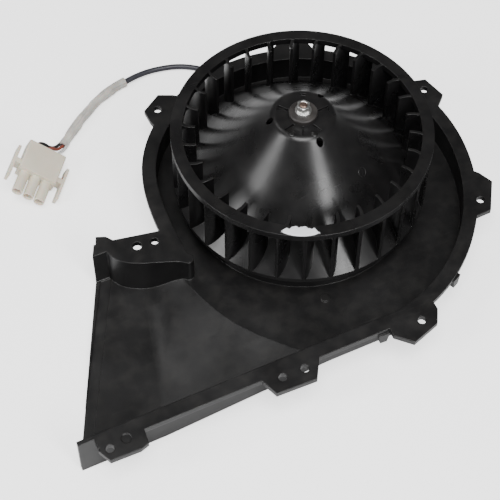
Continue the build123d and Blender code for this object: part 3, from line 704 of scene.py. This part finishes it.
# ---------------------------------------------------------------- geometry trees


class GeometryTree:
    """A Geometry Nodes tree with named inputs, used once to make a plain mesh."""

    def __init__(self, name: str, inputs: dict[str, float | int]) -> None:
        """Make an empty tree.

        Args:
            name: the tree's name.
            inputs: default value of each named input; a whole number makes an integer input.
        """
        self.tree = bpy.data.node_groups.new(name, "GeometryNodeTree")
        face = self.tree.interface
        face.new_socket("Geometry", in_out="INPUT", socket_type="NodeSocketGeometry")
        self._identifiers: dict[str, str] = {}
        for title, value in inputs.items():
            kind = "NodeSocketInt" if isinstance(value, int) else "NodeSocketFloat"
            socket = face.new_socket(title, in_out="INPUT", socket_type=kind)
            socket.default_value = value
            self._identifiers[title] = socket.identifier
        face.new_socket("Geometry", in_out="OUTPUT", socket_type="NodeSocketGeometry")
        self._start = self.tree.nodes.new("NodeGroupInput")

    def given(self, title: str) -> Socket:
        """Give the output socket of a named input."""
        return self._start.outputs[title]

    def node(self, kind: str, inputs: dict[str | int, object] | None = None, **settings: object) -> Node:
        """Add a node.

        Args:
            kind: class name of the node.
            inputs: value or output socket for each input, by name or place.
            settings: properties set on the node itself.

        Returns:
            The new node.
        """
        new = self.tree.nodes.new(kind)
        for name, value in settings.items():
            setattr(new, name, value)
        for name, value in (inputs or {}).items():
            socket = new.inputs[name]
            if isinstance(value, Socket):
                self.tree.links.new(value, socket)
            else:
                socket.default_value = value
        return new

    def maths(self, operation: str, first: object, second: object = 0.0) -> Socket:
        """Combine two numbers."""
        return self.node("ShaderNodeMath", {0: first, 1: second}, operation=operation).outputs[0]

    def finish(self, geometry: Socket, material: Material) -> None:
        """End the tree with Realize Instances and Set Material.

        Args:
            geometry: what the tree has made.
            material: the material that it gets.
        """
        real = self.node("GeometryNodeRealizeInstances", {"Geometry": geometry})
        painted = self.node("GeometryNodeSetMaterial", {"Geometry": real.outputs[0], "Material": material})
        end = self.tree.nodes.new("NodeGroupOutput")
        self.tree.links.new(painted.outputs[0], end.inputs[0])

    def make(self, name: str, values: dict[str, float | int], start: bpy.types.Mesh | None = None) -> Thing:
        """Run the tree and keep its result as a plain mesh.

        Args:
            name: the piece's name.
            values: value of each named input that isn't at its default.
            start: mesh that goes in, if the tree works on one.

        Returns:
            The piece, with no modifier left on it.
        """
        base = start or bpy.data.meshes.new(f"{name}_start")
        maker = bpy.data.objects.new(f"{name}_maker", base)
        bpy.context.scene.collection.objects.link(maker)
        modifier = maker.modifiers.new("shape", "NODES")
        modifier.node_group = self.tree
        for title, value in values.items():
            modifier[self._identifiers[title]] = value
        graph = bpy.context.evaluated_depsgraph_get()
        mesh = bpy.data.meshes.new_from_object(maker.evaluated_get(graph), depsgraph=graph)
        mesh.name = name
        maker.modifiers.remove(modifier)
        bpy.data.objects.remove(maker)
        return add_piece(name, mesh)


def add_piece(name: str, data: bpy.types.ID) -> Thing:
    """Put a mesh or a curve in the scene as a piece at the origin.

    Args:
        name: the piece's name.
        data: its mesh or curve.

    Returns:
        The new object.
    """
    piece = bpy.data.objects.new(name, data)
    bpy.context.scene.collection.objects.link(piece)
    return piece


def mend_shell(mesh: bpy.types.Mesh) -> None:
    """Merge doubles and turn all faces of a closed mesh outwards."""
    work = bmesh.new()
    work.from_mesh(mesh)
    bmesh.ops.remove_doubles(work, verts=work.verts, dist=1e-7)
    bmesh.ops.recalc_face_normals(work, faces=work.faces)
    work.to_mesh(mesh)
    work.free()
    mesh.shade_smooth()
    mesh.set_sharp_from_angle(angle=math.radians(42))


# ---------------------------------------------------------------- supply lead


def nurbs(name: str, points: list[Vector], radius: float) -> bpy.types.Curve:
    """Make a smooth round cord along control points.

    Args:
        name: the curve's name.
        points: control points in metres.
        radius: the cord's radius, or 0 for the bare line.

    Returns:
        A curve of one open spline that starts and ends on its first and last points.
    """
    curve = bpy.data.curves.new(name, "CURVE")
    curve.dimensions = "3D"
    curve.resolution_u = 14
    curve.bevel_depth = radius
    curve.bevel_resolution = 5
    curve.use_fill_caps = True
    spline = curve.splines.new("NURBS")
    spline.points.add(len(points) - 1)
    for control, point in zip(spline.points, points):
        control.co = (*point, 1.0)
    spline.order_u = 3
    spline.use_endpoint_u = True
    return curve


@dataclass
class SupplyLead:
    """The jacketed cable from the motor, its sleeve, three leads and the connector's dress."""

    route: list[Point] = field(
        default_factory=lambda: [
            (-2.0, 37.05, 5.4),
            (-2.0, 47.55, 5.4),
            (-0.6, 60.55, 1.75),
            (2.6, 76.0, 1.65),
            (1.6, 93.0, 1.69),
            (-6.0, 107.2, 1.65),
            (-18.5, 115.9, 1.85),
            (-33.0, 118.9, 2.3),
            (-43.5, 118.4, 2.95),
            (-53.0, 116.6, 2.95),
            (-64.5, 113.6, 2.95),
            (-76.5, 107.5, 2.95),
            (-88.5, 98.8, 2.95),
            (-100.5, 88.5, 2.95),
        ]
    )
    radius: float = 1.6 * MM
    sleeve_radius: float = 2.75 * MM
    sleeve_length: float = 56.5 * MM
    lead_radius: float = 0.85 * MM
    lead_gap: float = 2.0 * MM
    contact_pitch: float = 6.35 * MM
    connector_rear: Point = (-111.8, 83.2, 9.58)
    connector_angle: float = 231.0
    connector_roll: float = 27.0

    def build(self, paint: PaintShop, nodes: dict[str, Thing]) -> None:
        """Args:
            paint: the finishes.
            nodes: the CAD nodes by name; not used.
        """
        points = [Vector(point) * MM for point in self.route]
        cable = add_piece("supply_cable_smooth", nurbs("supply_cable_smooth", points, self.radius))
        paint.dress(cable, CABLE_JACKET)
        centreline = self.centreline(points)
        sleeve = self._sleeve(centreline, paint)
        leads = self._leads(points, paint)
        for piece, node, slot in (
            (cable, "supply_cable", "cable_jacket"),
            (sleeve, "cable_sleeve", "sleeve_fibre"),
            (leads[0], "lead_black", "wire_black"),
            (leads[1], "lead_brown", "wire_brown"),
            (leads[2], "lead_white", "wire_white"),
        ):
            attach(piece, "housing")
            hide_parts(node)

    @staticmethod
    def centreline(points: list[Vector]) -> list[Vector]:
        """Read the points that the smooth cord follows from its bare spline.

        Args:
            points: the route's control points.

        Returns:
            Points along the spline, in order.
        """
        bare = add_piece("bare_route", nurbs("bare_route", points, 0.0))
        graph = bpy.context.evaluated_depsgraph_get()
        mesh = bpy.data.meshes.new_from_object(bare.evaluated_get(graph), depsgraph=graph)
        line = [vertex.co.copy() for vertex in mesh.vertices]
        bpy.data.objects.remove(bare)
        return line

    def _sleeve(self, centreline: list[Vector], paint: PaintShop) -> Thing:
        """Make the thin sleeve over the cable's last stretch, dented and creased unevenly."""
        kept = [centreline[-1]]
        run = 0.0
        for near, far in zip(reversed(centreline[:-1]), reversed(centreline[1:])):
            run += (far - near).length
            kept.append(near)
            if run >= self.sleeve_length:
                break
        path = bpy.data.meshes.new("sleeve_path")
        path.from_pydata([tuple(point) for point in kept], [(i, i + 1) for i in range(len(kept) - 1)], [])
        tree = self._sleeve_tree(paint.material(SLEEVE))
        sleeve = tree.make("cable_sleeve_creased", {"Radius": self.sleeve_radius}, path)
        mend_shell(sleeve.data)
        return sleeve

    @staticmethod
    def _sleeve_tree(material: Material) -> GeometryTree:
        """Build the tree that wraps a creased tube round a path."""
        tree = GeometryTree(
            "creased_sleeve",
            {"Radius": 0.0028, "Crease Depth": 0.00055, "Crease Scale": 190.0, "Rings": 110, "Sides": 40},
        )
        curve = tree.node("GeometryNodeMeshToCurve", {"Mesh": tree.given("Geometry")})
        even = tree.node(
            "GeometryNodeResampleCurve", {"Curve": curve.outputs[0], "Count": tree.given("Rings")}
        )
        profile = tree.node(
            "GeometryNodeCurvePrimitiveCircle",
            {"Resolution": tree.given("Sides"), "Radius": tree.given("Radius")},
        )
        along = tree.node("GeometryNodeSplineParameter").outputs["Factor"]
        around = tree.node("GeometryNodeSplineParameter").outputs["Factor"]
        kept_along = tree.node(
            "GeometryNodeCaptureAttribute", {"Geometry": even.outputs[0]}, domain="POINT"
        )
        kept_along.capture_items.new("FLOAT", "along")
        tree.tree.links.new(along, kept_along.inputs[1])
        kept_around = tree.node(
            "GeometryNodeCaptureAttribute", {"Geometry": profile.outputs[0]}, domain="POINT"
        )
        kept_around.capture_items.new("FLOAT", "around")
        tree.tree.links.new(around, kept_around.inputs[1])
        tube = tree.node(
            "GeometryNodeCurveToMesh",
            {"Curve": kept_along.outputs[0], "Profile Curve": kept_around.outputs[0], "Fill Caps": True},
        )
        place = tree.node("ShaderNodeCombineXYZ", {"X": kept_along.outputs[1], "Y": kept_around.outputs[1]})
        stored = tree.node(
            "GeometryNodeStoreNamedAttribute",
            {"Geometry": tube.outputs[0], "Name": "UVMap", "Value": place.outputs[0]},
            data_type="FLOAT2",
            domain="CORNER",
        )
        position = tree.node("GeometryNodeInputPosition").outputs[0]
        normal = tree.node("GeometryNodeInputNormal").outputs[0]
        broad = tree.node(
            "ShaderNodeTexNoise", {"Vector": position, "Scale": 70.0, "Detail": 1.0}
        ).outputs["Fac"]
        creases = tree.node(
            "ShaderNodeTexNoise",
            {"Vector": position, "Scale": tree.given("Crease Scale"), "Detail": 3.0, "Distortion": 0.8},
        ).outputs["Fac"]
        swell = tree.maths("ADD", tree.maths("MULTIPLY", tree.maths("SUBTRACT", broad, 0.52), 2.2), creases)
        depth = tree.maths("MULTIPLY", tree.maths("SUBTRACT", swell, 0.62), tree.given("Crease Depth"))
        low = tree.maths(
            "MAXIMUM",
            tree.maths("MULTIPLY", depth, 2.0),
            tree.maths("MULTIPLY", tree.given("Crease Depth"), -1.1),
        )
        capped = tree.maths("MINIMUM", low, tree.maths("MULTIPLY", tree.given("Crease Depth"), 0.25))
        shift = tree.node("ShaderNodeVectorMath", {0: normal}, operation="SCALE")
        tree.tree.links.new(capped, shift.inputs["Scale"])
        creased = tree.node(
            "GeometryNodeSetPosition", {"Geometry": stored.outputs[0], "Offset": shift.outputs[0]}
        )
        tree.finish(creased.outputs[0], material)
        return tree

    def _leads(self, points: list[Vector], paint: PaintShop) -> list[Thing]:
        """Make the three leads that fan out from the sleeve to the connector's ways."""
        end = points[-1]
        way = (points[-1] - points[-2]).normalized()
        side = Vector((-way.y, way.x, 0.0))
        turn = math.radians(self.connector_angle)
        along = Vector((math.cos(turn), math.sin(turn), 0.0))
        roll = math.radians(self.connector_roll)
        across = Vector((-along.y * math.cos(roll), along.x * math.cos(roll), -math.sin(roll)))
        rear = Vector(self.connector_rear) * MM
        made = []
        for name, place, finish in (
            ("black_lead_smooth", -1, LEAD_BLACK),
            ("brown_lead_smooth", 0, LEAD_BROWN),
            ("white_lead_smooth", 1, LEAD_WHITE),
        ):
            start = end + side * (place * self.lead_gap)
            stop = rear + across * (place * self.contact_pitch)
            run = (stop - start).length * 0.3
            controls = [
                start - way * run * 0.8, start + way * run, stop - along * run, stop + along * run * 0.4
            ]
            lead = add_piece(name, nurbs(name, controls, self.lead_radius))
            paint.dress(lead, finish)
            made.append(lead)
        return made


# ---------------------------------------------------------------- details on the rotor


@dataclass
class RotorDetails:
    """Thread on the stud, painted balance mark and the moulding marks on the hub."""

    thread_pitch: float = 0.7 * MM
    thread_depth: float = 0.25 * MM
    stud_radius: float = 1.75 * MM
    mark_start: float = -125.5
    mark_stop: float = -109.0
    rim_width: float = 6.0 * MM
    rim_top: float = 64.4 * MM
    paint_thickness: float = 0.25 * MM
    pin_mark_radius: float = 1.9 * MM
    pin_circle: float = 13.6 * MM
    pin_start: float = -140.0
    pin_step: float = 48.0
    pin_count: int = 2
    cavity_ring_radius: float = 2.4 * MM
    cavity_ring_thickness: float = 0.22 * MM
    cavity_ring_at: float = 36.0 * MM
    cavity_ring_angle: float = -59.0
    hub_radius: float = 15.3 * MM
    bell_foot_radius: float = 53.0 * MM
    bell_foot_height: float = 37.4 * MM

    def build(self, paint: PaintShop) -> None:
        """Build the details and let them ride on the rotor.

        Args:
            paint: the finishes.
        """
        pieces = (
            (self._thread(paint.material(OILED_STEEL)), "shaft_steel"),
            (self._balance_mark(paint), "impeller_plastic"),
            (self._pin_marks(paint.material(IMPELLER_MOULDING)), "impeller_plastic"),
            (self._cavity_ring(paint), "impeller_plastic"),
        )
        for piece, slot in pieces:
            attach(piece, "rotor")
            log.info("rotor detail %s: %d faces", piece.name, len(piece.data.polygons))

    def _thread(self, material: Material) -> Thing:
        """Wind the stud's thread between the nut and the stud's end."""
        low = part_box("flange_nut")[1].z - self.thread_pitch
        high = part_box("motor_shaft")[1].z - 0.35 * MM
        tree = GeometryTree(
            "thread_ridge",
            {
                "Radius": self.stud_radius,
                "Start": low,
                "Height": 0.001,
                "Turns": 2.0,
                "Depth": self.thread_depth,
            },
        )
        spiral = tree.node(
            "GeometryNodeCurveSpiral",
            {
                "Resolution": 40,
                "Rotations": tree.given("Turns"),
                "Start Radius": tree.given("Radius"),
                "End Radius": tree.given("Radius"),
                "Height": tree.given("Height"),
            },
        )
        profile = tree.node(
            "GeometryNodeCurvePrimitiveCircle", {"Resolution": 6, "Radius": tree.given("Depth")}
        )
        ridge = tree.node(
            "GeometryNodeCurveToMesh",
            {"Curve": spiral.outputs[0], "Profile Curve": profile.outputs[0], "Fill Caps": True},
        )
        lift = tree.node("ShaderNodeCombineXYZ", {"Z": tree.given("Start")})
        moved = tree.node(
            "GeometryNodeTransform", {"Geometry": ridge.outputs[0], "Translation": lift.outputs[0]}
        )
        tree.finish(moved.outputs[0], material)
        turns = (high - low) / self.thread_pitch
        piece = tree.make(
            "stud_thread",
            {"Turns": turns, "Height": high - low, "Radius": self.stud_radius - 0.4 * self.thread_depth},
        )
        mend_shell(piece.data)
        return piece

    def _balance_mark(self, paint: PaintShop) -> Thing:
        """Brush a patch of paint on the rim, thin at its edges and reaching nearly to the outer edge."""
        rim_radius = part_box("impeller")[1].x
        across, around = 12, 34
        work = bmesh.new()
        rows = []
        for i in range(around + 1):
            share = i / around
            angle = self.mark_start + (self.mark_stop - self.mark_start) * share
            bow = math.sin(math.pi * share) ** 0.35
            wobble = 0.09 * math.sin(23.0 * share) + 0.05 * math.sin(51.0 * share + 1.0)
            inner = rim_radius - self.rim_width * min(1.0, max(0.12, 0.97 * bow + wobble))
            outer = rim_radius - self.rim_width * 0.45 * (1.0 - bow) - 0.1 * MM
            row = []
            for j in range(across + 1):
                part = j / across
                body = min(1.0, 5.0 * part, 5.0 * (1.0 - part), 9.0 * share, 9.0 * (1.0 - share))
                ripple = 0.8 + 0.2 * math.sin(9.0 * part + 17.0 * share)
                height = self.rim_top + self.paint_thickness * max(0.0, body) ** 0.5 * ripple
                row.append(work.verts.new(polar(inner + (outer - inner) * part, angle, height)))
            rows.append(row)
        low_rows = [[work.verts.new((v.co.x, v.co.y, self.rim_top - 0.05 * MM)) for v in row] for row in rows]
        for grid in (rows, low_rows):
            for first, second in zip(grid, grid[1:]):
                for a, b, c, d in zip(first, first[1:], second[1:], second):
                    work.faces.new((a, b, c, d))
        work.verts.index_update()
        edge = rows[0] + [row[-1] for row in rows[1:]] + rows[-1][-2::-1] + [row[0] for row in rows[-2:0:-1]]
        low_edge = (
            low_rows[0] + [row[-1] for row in low_rows[1:]] + low_rows[-1][-2::-1] + [
                row[0] for row in low_rows[-2:0:-1]
            ]
        )
        for i in range(len(edge)):
            after = (i + 1) % len(edge)
            work.faces.new((edge[i], edge[after], low_edge[after], low_edge[i]))
        mesh = bpy.data.meshes.new("balance_mark")
        work.to_mesh(mesh)
        work.free()
        piece = add_piece("balance_mark", mesh)
        mend_shell(mesh)
        paint.dress(piece, PAINT)
        return piece

    def _pin_marks(self, material: Material) -> Thing:
        """Stand the raised rounds that the ejector pins left on the hub's flat top."""
        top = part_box("hub_collar")[0].z
        tree = GeometryTree(
            "pin_marks",
            {
                "Count": 2,
                "Circle": 0.014,
                "Start": 0.0,
                "Step": 45.0,
                "Mark Radius": 0.001,
                "Rise": 0.0002,
                "Level": 0.0,
            },
        )
        points = tree.node("GeometryNodePoints", {"Count": tree.given("Count")})
        number = tree.node("GeometryNodeInputIndex").outputs[0]
        degrees = tree.maths("ADD", tree.given("Start"), tree.maths("MULTIPLY", number, tree.given("Step")))
        turn = tree.maths("RADIANS", degrees)
        place = tree.node(
            "ShaderNodeCombineXYZ",
            {
                "X": tree.maths("MULTIPLY", tree.maths("COSINE", turn), tree.given("Circle")),
                "Y": tree.maths("MULTIPLY", tree.maths("SINE", turn), tree.given("Circle")),
                "Z": tree.given("Level"),
            },
        )
        spread = tree.node(
            "GeometryNodeSetPosition", {"Geometry": points.outputs[0], "Position": place.outputs[0]}
        )
        mark = tree.node(
            "GeometryNodeMeshCone",
            {
                "Vertices": 24,
                "Radius Top": tree.maths("MULTIPLY", tree.given("Mark Radius"), 0.86),
                "Radius Bottom": tree.given("Mark Radius"),
                "Depth": tree.given("Rise"),
            },
        )
        marks = tree.node(
            "GeometryNodeInstanceOnPoints", {"Points": spread.outputs[0], "Instance": mark.outputs[0]}
        )
        tree.finish(marks.outputs[0], material)
        piece = tree.make(
            "hub_pin_marks",
            {
                "Count": self.pin_count,
                "Circle": self.pin_circle,
                "Start": self.pin_start,
                "Step": self.pin_step,
                "Mark Radius": self.pin_mark_radius,
                "Level": top - 0.05 * MM,
            },
        )
        mend_shell(piece.data)
        return piece

    def _cavity_ring(self, paint: PaintShop) -> Thing:
        """Raise the small moulded ring that sits on the bell's cone."""
        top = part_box("hub_collar")[0].z
        slope = (top - self.bell_foot_height) / (self.bell_foot_radius - self.hub_radius)
        height = top - (self.cavity_ring_at - self.hub_radius) * slope
        lean = math.atan(slope)
        work = bmesh.new()
        around, section, thick = 40, 8, self.cavity_ring_thickness
        rings = []
        for i in range(around):
            turn = 2 * math.pi * i / around
            outward = Vector((math.cos(turn), math.sin(turn), 0.0))
            centre = outward * self.cavity_ring_radius
            ring = []
            for j in range(section):
                roll = 2 * math.pi * j / section
                ring.append(
                    work.verts.new(
                        centre + outward * thick * math.cos(roll) + Vector((0, 0, thick * math.sin(roll)))
                    )
                )
            rings.append(ring)
        for first, second in zip(rings, rings[1:] + rings[:1]):
            for j in range(section):
                after = (j + 1) % section
                work.faces.new((first[j], first[after], second[after], second[j]))
        mesh = bpy.data.meshes.new("bell_cavity_ring")
        work.to_mesh(mesh)
        work.free()
        tilt = Matrix.Rotation(lean, 4, "Y")
        swing = Matrix.Rotation(math.radians(self.cavity_ring_angle), 4, "Z")
        mesh.transform(swing @ Matrix.Translation((self.cavity_ring_at, 0.0, height)) @ tilt)
        mend_shell(mesh)
        piece = add_piece("bell_cavity_ring", mesh)
        paint.dress(piece, IMPELLER_MOULDING)
        return piece


# ---------------------------------------------------------------- studio


@dataclass(frozen=True)
class SoftLight:
    """A large soft light that aims at the fan."""

    name: str
    azimuth: float
    elevation: float
    distance: float
    width: float
    height: float
    power: float
    colour: Colour = (1.0, 1.0, 1.0)

    def place(self, aim: Vector) -> None:
        """Put the light in the scene.

        Args:
            aim: point that it faces.
        """
        data = bpy.data.lights.new(self.name, "AREA")
        data.shape = "RECTANGLE"
        data.size = self.width
        data.size_y = self.height
        data.energy = self.power
        data.color = self.colour
        lamp = bpy.data.objects.new(self.name, data)
        up = math.radians(self.elevation)
        flat = polar(self.distance * math.cos(up), self.azimuth, self.distance * math.sin(up))
        lamp.location = aim + flat
        lamp.rotation_euler = (-flat).to_track_quat("-Z", "Y").to_euler()
        bpy.context.scene.collection.objects.link(lamp)


@dataclass
class Studio:
    """Pale floor, soft lights and the camera."""

    eye: Point = (-0.23235, -0.41917, 0.6507)
    forward: Point = (0.2482, 0.5101, -0.8235)
    right: Point = (0.9034, -0.4286, 0.00684)
    lens: float = 108.0
    sensor: float = 36.0
    floor_half: float = 3.0
    aim: Point = (-0.03, 0.0, 0.03)
    sky_strength: float = 0.13
    floor_glow: float = 1.6

    def build(self) -> None:
        """Build the camera, the floor, the sky and the lights."""
        self._camera()
        self._floor()
        self._sky()
        for light in (
            SoftLight("front_box", -78.0, 38.0, 1.6, 0.35, 0.8, 14.0),
            SoftLight("left_box", 180.0, 34.0, 1.6, 0.35, 0.8, 13.0),
            SoftLight("top_box", -112.0, 72.0, 1.8, 0.9, 0.9, 32.0),
            SoftLight("ramp_box", 112.0, 60.0, 1.7, 0.4, 0.4, 2.0),
        ):
            light.place(Vector(self.aim))
        log.info("studio: camera, floor, sky and lights")

    def _camera(self) -> None:
        """Place the camera by its eye point and its axes."""
        data = bpy.data.cameras.new("camera")
        data.lens = self.lens
        data.sensor_width = self.sensor
        data.sensor_fit = "HORIZONTAL"
        data.clip_start = 0.01
        camera = bpy.data.objects.new("camera", data)
        ahead = Vector(self.forward).normalized()
        side = Vector(self.right).normalized()
        over = side.cross(ahead).normalized()
        side = ahead.cross(over)
        axes = Matrix((side, over, -ahead)).transposed()
        camera.matrix_world = Matrix.Translation(self.eye) @ axes.to_4x4()
        bpy.context.scene.collection.objects.link(camera)
        bpy.context.scene.camera = camera

    def _floor(self) -> None:
        """Lay the plain pale floor that the fan stands on."""
        half = self.floor_half
        mesh = bpy.data.meshes.new("floor")
        corners = [(-half, -half, 0.0), (half, -half, 0.0), (half, half, 0.0), (-half, half, 0.0)]
        mesh.from_pydata(corners, [], [(0, 1, 2, 3)])
        floor = add_piece("floor", mesh)
        material = bpy.data.materials.new("pale_floor")
        material.use_nodes = True
        tree = ShaderTree(material.node_tree)
        tone = tree.spread(tree.noise(6.0, 2.0), 0.3, 0.7, 0.0, 1.0)
        colour = tree.blend(tone, (0.90, 0.90, 0.90), (0.88, 0.88, 0.885))
        seen = tree.node("ShaderNodeLightPath").outputs["Is Camera Ray"]
        glow = tree.maths("MULTIPLY", seen, self.floor_glow)
        surface = tree.node(
            "ShaderNodeBsdfPrincipled",
            {"Base Color": colour, "Roughness": 0.8, "Emission Color": colour, "Emission Strength": glow},
        )
        tree.node("ShaderNodeOutputMaterial", {"Surface": surface.outputs["BSDF"]})
        mesh.materials.append(material)

    def _sky(self) -> None:
        """Fill the room with even white light."""
        world = bpy.data.worlds.new("studio")
        world.use_nodes = True
        back = world.node_tree.nodes["Background"]
        back.inputs["Color"].default_value = (1.0, 1.0, 1.0, 1.0)
        back.inputs["Strength"].default_value = self.sky_strength
        bpy.context.scene.world = world


def main() -> None:
    """Build the studio, then dress and detail each part of the fan."""
    logging.basicConfig(level=logging.INFO, format="%(name)s: %(message)s")
    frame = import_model()
    paint = PaintShop()
    Studio().build()
    SupplyLead().build(paint, frame["nodes"])
    RotorDetails().build(paint)
    paint.dress_cad(frame["nodes"])
    bpy.context.view_layer.update()


if __name__ == "__main__":
    main()
